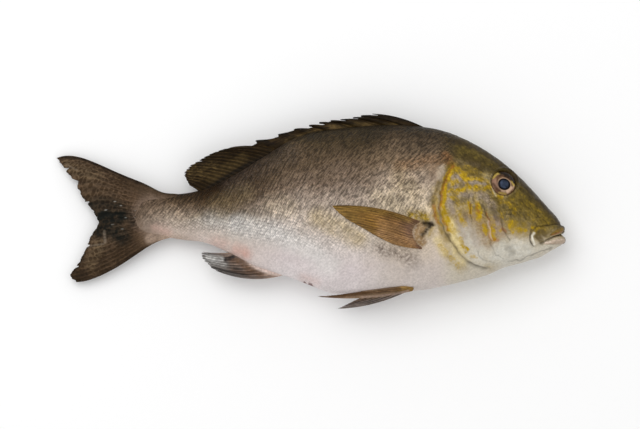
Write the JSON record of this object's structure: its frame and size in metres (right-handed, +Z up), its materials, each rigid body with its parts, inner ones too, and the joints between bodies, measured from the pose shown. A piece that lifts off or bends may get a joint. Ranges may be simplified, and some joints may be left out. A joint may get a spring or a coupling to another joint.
{
  "type": "whole raw fish",
  "caption": "Whole raw sea fish lying on its side, with a deep scaly trunk, gill covers, eyes, slightly parted lips, folded fins and a forked tail.",
  "frame": {"origin": "under the middle of the fish, on the surface that it lies on", "axes": "+X along the fish to its snout, +Y to its back, +Z up out of its right side, which is the side shown"},
  "size_m": [0.4594, 0.1746, 0.0608],
  "materials": {
    "skin": "moist scaly skin, brown on the back, pale and silvery on the belly, yellow marks on the head",
    "eye": "wet clear cornea over a copper brown iris and a cloudy slate blue pupil"
  },
  "bodies": {
    "root": {"fish": "skin", "eye_right": "eye", "eye_left": "eye"}
  },
  "joints": []
}
